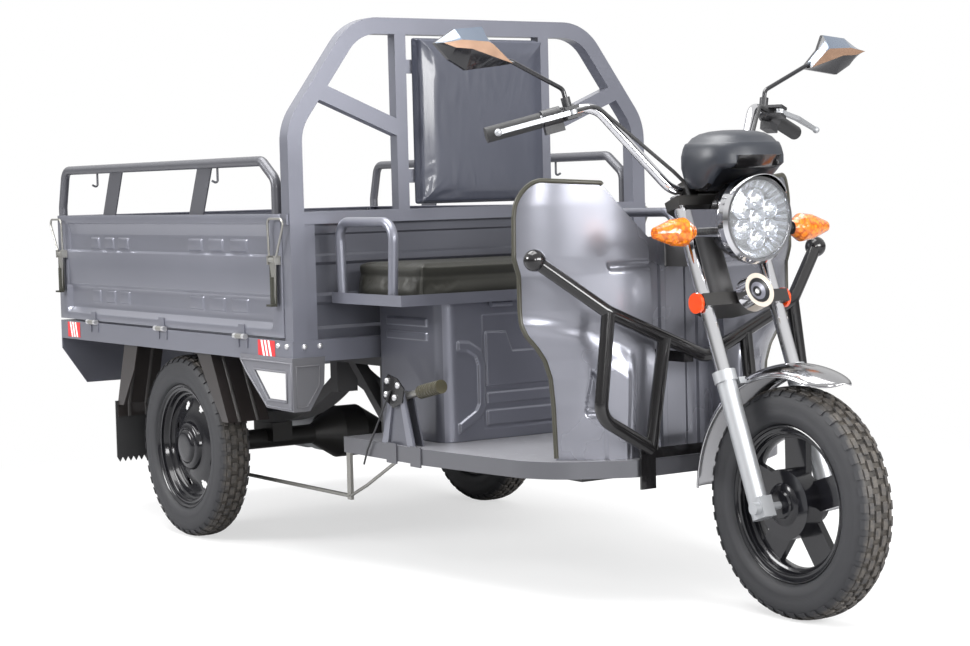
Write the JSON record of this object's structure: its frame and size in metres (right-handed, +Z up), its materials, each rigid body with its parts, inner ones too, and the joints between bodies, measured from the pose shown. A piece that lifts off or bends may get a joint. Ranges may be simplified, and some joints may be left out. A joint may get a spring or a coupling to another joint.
{
  "type": "cargo tricycle",
  "caption": "Electric cargo tricycle with a drop-side load bed over the rear axle, a padded seat on a locker, a curved front cowl with a bull bar, and a raked motorcycle fork.",
  "frame": {"origin": "on the ground under the middle of the vehicle's bounding box", "axes": "+X forward, +Y to the rider's left, +Z up"},
  "size_m": [2.86, 1.208, 1.342],
  "materials": {
    "grey_paint": "metallic mid-grey paint",
    "cowl_paint": "silver-grey paint",
    "frame_paint": "dark grey paint",
    "black_gloss": "gloss black paint",
    "guard_plastic": "moulded grey plastic",
    "black_plastic": "black plastic",
    "flap_rubber": "black rubber",
    "tyre_rubber": "ribbed rubber",
    "bright_chrome": "polished chrome",
    "cast_silver": "satin silver",
    "zinc_steel": "zinc-plated steel",
    "seat_vinyl": "dark olive-black vinyl over foam",
    "back_vinyl": "slate-grey vinyl over foam",
    "amber_lens": "clear amber",
    "red_lens": "clear red",
    "lamp_glass": "clear moulded lens"
  },
  "bodies": {
    "chassis": {"chassis_frame": "frame_paint", "floor_deck": "grey_paint", "front_cowl": "cowl_paint", "bull_bar": "black_gloss", "seat_box": "grey_paint", "battery_pack": "black_plastic", "headboard_arch": "grey_paint", "backrest_cushion": "back_vinyl", "cargo_floor": "grey_paint", "cargo_front_panel": "grey_paint", "gate_hinges": "grey_paint", "corner_guards": "guard_plastic", "rear_mudguards": "black_plastic", "mud_flaps": "flap_rubber", "tail_lamps": "red_lens", "rear_buffers": "black_plastic", "frame_bolts": "zinc_steel", "leaf_springs": "frame_paint", "brake_linkage": "zinc_steel"},
    "right_gate": {"side_gate_right": "grey_paint", "side_rail_right": "grey_paint"},
    "left_gate": {"side_gate_left": "grey_paint", "side_rail_left": "grey_paint"},
    "tail_gate": {"tailgate": "grey_paint"},
    "front_right_latch": {"latch_front_right": "zinc_steel"},
    "front_left_latch": {"latch_front_left": "zinc_steel"},
    "rear_right_latch": {"latch_rear_right": "zinc_steel"},
    "rear_left_latch": {"latch_rear_left": "zinc_steel"},
    "seat": {"seat_pan": "grey_paint", "seat_cushion": "seat_vinyl"},
    "parking_lever": {"parking_brake_lever": "zinc_steel"},
    "rear_axle": {"rear_axle_housing": "black_gloss", "drive_motor": "cast_silver"},
    "right_wheel": {"rear_tyre_right": "tyre_rubber", "rear_rim_right": "black_gloss"},
    "left_wheel": {"rear_tyre_left": "tyre_rubber", "rear_rim_left": "black_gloss"},
    "steering": {"fork_yokes": "black_gloss", "fork_tubes": "bright_chrome", "handlebar": "bright_chrome", "left_grip": "flap_rubber", "switch_housings": "black_plastic", "headlamp_shell": "black_gloss", "headlamp_bezel": "bright_chrome", "headlamp_lens": "lamp_glass", "turn_signals": "amber_lens", "horn": "bright_chrome", "meter_housing": "black_plastic", "control_cables": "flap_rubber", "fork_reflectors": "amber_lens"},
    "fork_lowers": {"fork_sliders": "cast_silver", "front_fender": "bright_chrome"},
    "front_wheel": {"front_tyre": "tyre_rubber", "front_rim": "black_gloss"},
    "throttle": {"throttle_grip": "flap_rubber"},
    "right_brake_lever": {"brake_lever_right": "cast_silver"},
    "left_brake_lever": {"brake_lever_left": "cast_silver"},
    "right_mirror": {"mirror_right": "black_plastic"},
    "left_mirror": {"mirror_left": "black_plastic"}
  },
  "joints": [
    {"name": "steering_turn", "type": "hinge", "parent": "chassis", "child": "steering", "pos_m": [1.12626, 0, 0.22222], "axis": [-0.3616, 0, 0.9323], "range_deg": [-35, 35]},
    {"name": "fork_travel", "type": "slide", "parent": "steering", "child": "fork_lowers", "axis": [-0.3616, 0, 0.9323], "range_m": [0, 0.06], "stiffness_N_per_m": 20000, "springref_m": -0.08},
    {"name": "front_wheel_spin", "type": "hinge", "parent": "fork_lowers", "child": "front_wheel", "pos_m": [1.185, 0, 0.245], "axis": [0, 1, 0], "continuous": true},
    {"name": "axle_travel", "type": "slide", "parent": "chassis", "child": "rear_axle", "axis": [0, 0, 1], "range_m": [0, 0.04], "stiffness_N_per_m": 60000, "springref_m": -0.06, "deforming": ["leaf_springs"]},
    {"name": "right_wheel_spin", "type": "hinge", "parent": "rear_axle", "child": "right_wheel", "pos_m": [-0.695, -0.466, 0.245], "axis": [0, 1, 0], "continuous": true},
    {"name": "left_wheel_spin", "type": "hinge", "parent": "rear_axle", "child": "left_wheel", "pos_m": [-0.695, 0.466, 0.245], "axis": [0, 1, 0], "continuous": true},
    {"name": "right_gate_swing", "type": "hinge", "parent": "chassis", "child": "right_gate", "pos_m": [-0.695, -0.5513, 0.5645], "axis": [1, 0, 0], "range_deg": [0, 140]},
    {"name": "left_gate_swing", "type": "hinge", "parent": "chassis", "child": "left_gate", "pos_m": [-0.695, 0.5513, 0.5645], "axis": [-1, 0, 0], "range_deg": [0, 140]},
    {"name": "tailgate_swing", "type": "hinge", "parent": "chassis", "child": "tail_gate", "pos_m": [-1.4093, 0, 0.5645], "axis": [0, -1, 0], "range_deg": [0, 140]},
    {"name": "front_right_latch_flip", "type": "hinge", "parent": "right_gate", "child": "front_right_latch", "pos_m": [-0.065, -0.5545, 0.757], "axis": [-1, 0, 0], "range_deg": [0, 120]},
    {"name": "front_left_latch_flip", "type": "hinge", "parent": "left_gate", "child": "front_left_latch", "pos_m": [-0.065, 0.5545, 0.757], "axis": [1, 0, 0], "range_deg": [0, 120]},
    {"name": "rear_right_latch_flip", "type": "hinge", "parent": "right_gate", "child": "rear_right_latch", "pos_m": [-1.363, -0.5545, 0.757], "axis": [-1, 0, 0], "range_deg": [0, 120]},
    {"name": "rear_left_latch_flip", "type": "hinge", "parent": "left_gate", "child": "rear_left_latch", "pos_m": [-1.363, 0.5545, 0.757], "axis": [1, 0, 0], "range_deg": [0, 120]},
    {"name": "seat_tip", "type": "hinge", "parent": "chassis", "child": "seat", "pos_m": [0.317, 0, 0.6428], "axis": [0, 1, 0], "range_deg": [0, 70]},
    {"name": "parking_brake_pull", "type": "hinge", "parent": "chassis", "child": "parking_lever", "pos_m": [0.24, -0.384, 0.432], "axis": [0, -1, 0], "range_deg": [0, 45]},
    {"name": "throttle_turn", "type": "hinge", "parent": "steering", "child": "throttle", "pos_m": [0.705, -0.44, 1.032], "axis": [0.4043, 0.8828, 0.2393], "range_deg": [0, 70], "stiffness_Nm_per_rad": 0.3, "springref_deg": -17.19},
    {"name": "right_brake_squeeze", "type": "hinge", "parent": "steering", "child": "right_brake_lever", "pos_m": [0.81798, -0.29417, 1.07626], "axis": [0.0996, 0.2175, -0.971], "range_deg": [0, 10], "stiffness_Nm_per_rad": 2, "springref_deg": -17.19},
    {"name": "left_brake_squeeze", "type": "hinge", "parent": "steering", "child": "left_brake_lever", "pos_m": [0.81798, 0.29417, 1.07626], "axis": [-0.0996, 0.2175, 0.971], "range_deg": [0, 10], "stiffness_Nm_per_rad": 2, "springref_deg": -17.19},
    {"name": "right_mirror_turn", "type": "hinge", "parent": "steering", "child": "right_mirror", "pos_m": [0.7778, -0.28103, 1.09568], "axis": [-0.0996, -0.2175, 0.971], "range_deg": [-25, 25]},
    {"name": "left_mirror_turn", "type": "hinge", "parent": "steering", "child": "left_mirror", "pos_m": [0.7778, 0.28103, 1.09568], "axis": [-0.0996, 0.2175, 0.971], "range_deg": [-25, 25]}
  ]
}
